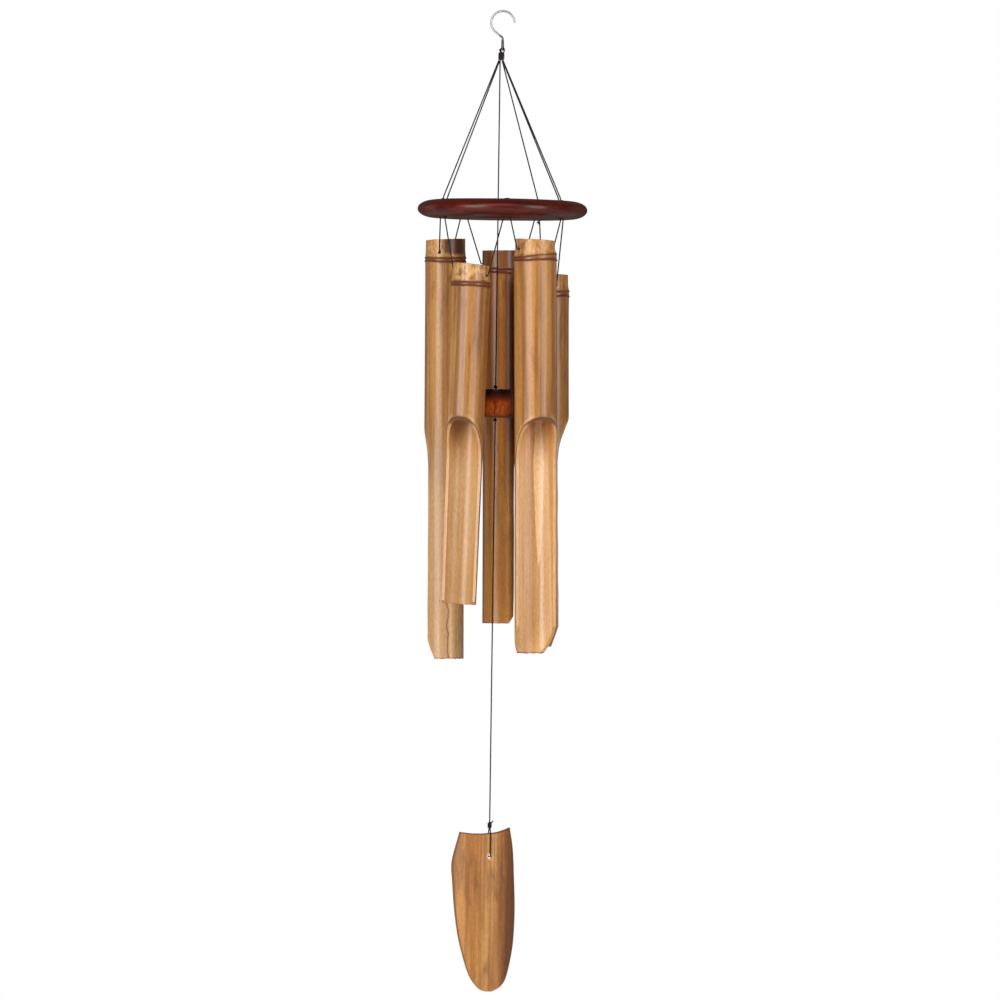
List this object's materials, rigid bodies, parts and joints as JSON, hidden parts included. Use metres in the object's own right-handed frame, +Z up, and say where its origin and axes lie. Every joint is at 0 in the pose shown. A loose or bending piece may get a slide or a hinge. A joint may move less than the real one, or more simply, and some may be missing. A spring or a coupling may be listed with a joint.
{
  "type": "wind chime",
  "caption": "Hanging wind chime: a hook and cords carry a wooden ring, scooped bamboo tubes around a wooden striker, and a bamboo slat that catches the wind.",
  "frame": {"origin": "inside top of the hook's open C, the point that rests on a peg", "axes": "+Z up, +X to the right seen from the front, +Y to the back"},
  "size_m": [0.158, 0.158, 0.912],
  "materials": {
    "hook_steel": "bright plated wire",
    "black_cord": "braided near-black cord",
    "ring_wood": "dark mahogany stain, satin lacquer",
    "tube_bamboo": "flamed golden bamboo, clear lacquer",
    "striker_wood": "red-brown stain, gloss lacquer, dark top",
    "sail_bamboo": "golden bamboo, satin lacquer"
  },
  "bodies": {
    "hook": {"hanging_hook": "hook_steel"},
    "sling": {"hook_loop": "black_cord"},
    "gather": {"top_knot": "black_cord"},
    "canopy": {"top_ring": "ring_wood", "suspension_cord_left": "black_cord", "suspension_cord_right": "black_cord", "suspension_cord_back": "black_cord", "ring_knot_back": "black_cord", "ring_lacing_front": "black_cord", "ring_lacing_right": "black_cord", "ring_lacing_back_right": "black_cord", "ring_lacing_back_left": "black_cord", "ring_lacing_left": "black_cord"},
    "clapper_lead": {"clapper_cord_bend": "black_cord"},
    "clapper": {"clapper_cord": "black_cord", "striker_knot_top": "black_cord", "striker": "striker_wood"},
    "catcher_knot": {"striker_knot_bottom": "black_cord"},
    "catcher_line": {"sail_cord": "black_cord"},
    "sail_sling": {"sail_knot": "black_cord", "sail_loop": "black_cord"},
    "sail": {"sail": "sail_bamboo"},
    "hanger_left": {"strand_left_1": "black_cord", "strand_left_2": "black_cord"},
    "tube_left": {"tube_left": "tube_bamboo", "tube_left_knots": "black_cord"},
    "hanger_front_left": {"strand_front_left_1": "black_cord", "strand_front_left_2": "black_cord"},
    "tube_front_left": {"tube_front_left": "tube_bamboo", "tube_front_left_knots": "black_cord"},
    "hanger_back": {"strand_back_1": "black_cord", "strand_back_2": "black_cord"},
    "tube_back": {"tube_back": "tube_bamboo", "tube_back_knots": "black_cord"},
    "hanger_front_right": {"strand_front_right_1": "black_cord", "strand_front_right_2": "black_cord"},
    "tube_front_right": {"tube_front_right": "tube_bamboo", "tube_front_right_knots": "black_cord"},
    "hanger_right": {"strand_right_1": "black_cord", "strand_right_2": "black_cord"},
    "tube_right": {"tube_right": "tube_bamboo", "tube_right_knots": "black_cord"}
  },
  "joints": [
    {"name": "chime_swing_fore", "type": "hinge", "parent": "hook", "child": "sling", "pos_m": [0, 0, -0.03077], "axis": [0.9945, -0.1045, 0], "range_deg": [-10, 10]},
    {"name": "chime_swing_side", "type": "hinge", "parent": "sling", "child": "gather", "pos_m": [0, 0, -0.03497], "axis": [-0.1045, -0.9945, 0], "range_deg": [-10, 10]},
    {"name": "chime_turn", "type": "hinge", "parent": "gather", "child": "canopy", "pos_m": [-0.001, 0, -0.04487], "axis": [0, 0, 1], "range_deg": [-60, 60]},
    {"name": "clapper_swing_fore", "type": "hinge", "parent": "canopy", "child": "clapper_lead", "pos_m": [-0.0021, 0, -0.04502], "axis": [1, 0, 0], "range_deg": [-2.9, 2.6]},
    {"name": "clapper_swing_side", "type": "hinge", "parent": "clapper_lead", "child": "clapper", "pos_m": [-0.0021, 0, -0.04902], "axis": [0, -1, 0], "range_deg": [-2.1, 2.8]},
    {"name": "catcher_swing_fore", "type": "hinge", "parent": "clapper", "child": "catcher_knot", "pos_m": [-0.0021, 0, -0.3793], "axis": [1, 0, 0], "range_deg": [-6, 6]},
    {"name": "catcher_swing_side", "type": "hinge", "parent": "catcher_knot", "child": "catcher_line", "pos_m": [-0.0021, 0, -0.3793], "axis": [0, -1, 0], "range_deg": [-6, 6]},
    {"name": "sail_turn", "type": "hinge", "parent": "catcher_line", "child": "sail_sling", "pos_m": [-0.0021, 0, -0.7561], "axis": [0, 0, 1], "range_deg": [-90, 90]},
    {"name": "sail_rock", "type": "hinge", "parent": "sail_sling", "child": "sail", "pos_m": [-0.0021, 0, -0.7854], "axis": [0.3827, -0.9239, 0], "range_deg": [-15, 15]},
    {"name": "strands_swing_left", "type": "hinge", "parent": "canopy", "child": "hanger_left", "pos_m": [-0.04642, 0.0107, -0.19225], "axis": [-0.2488, -0.9685, 0], "range_deg": [-15, 1]},
    {"name": "tube_tilt_left", "type": "hinge", "parent": "hanger_left", "child": "tube_left", "pos_m": [-0.05053, 0.01596, -0.2243], "axis": [-0.2906, -0.9568, -0.0075], "range_deg": [-10, 1]},
    {"name": "strands_swing_front_left", "type": "hinge", "parent": "canopy", "child": "hanger_front_left", "pos_m": [-0.02411, -0.04621, -0.19225], "axis": [0.8892, -0.4575, 0], "range_deg": [-15, 1]},
    {"name": "tube_tilt_front_left", "type": "hinge", "parent": "hanger_front_left", "child": "tube_front_left", "pos_m": [-0.02624, -0.04187, -0.2466], "axis": [0.8289, -0.5592, -0.0141], "range_deg": [-10, 1]},
    {"name": "strands_swing_back", "type": "hinge", "parent": "canopy", "child": "hanger_back", "pos_m": [0.00081, 0.05173, -0.19225], "axis": [0.9998, 0.0212, 0], "range_deg": [-1, 15]},
    {"name": "tube_tilt_back", "type": "hinge", "parent": "hanger_back", "child": "tube_back", "pos_m": [0.002, 0.05, -0.2324], "axis": [0.9999, 0, 0.014], "range_deg": [-1, 10]},
    {"name": "strands_swing_front_right", "type": "hinge", "parent": "canopy", "child": "hanger_front_right", "pos_m": [0.0328, -0.04169, -0.19225], "axis": [-0.7927, -0.6096, 0], "range_deg": [-1, 15]},
    {"name": "tube_tilt_front_right", "type": "hinge", "parent": "hanger_front_right", "child": "tube_front_right", "pos_m": [0.03267, -0.041, -0.2215], "axis": [-0.8007, -0.599, -0.0053], "range_deg": [-1, 10]},
    {"name": "strands_swing_right", "type": "hinge", "parent": "canopy", "child": "hanger_right", "pos_m": [0.04769, 0.01562, -0.19225], "axis": [0.3068, -0.9518, 0], "range_deg": [-1, 15]},
    {"name": "tube_tilt_right", "type": "hinge", "parent": "hanger_right", "child": "tube_right", "pos_m": [0.04664, 0.01625, -0.2535], "axis": [0.3421, -0.9397, 0.001], "range_deg": [-1, 10]}
  ]
}
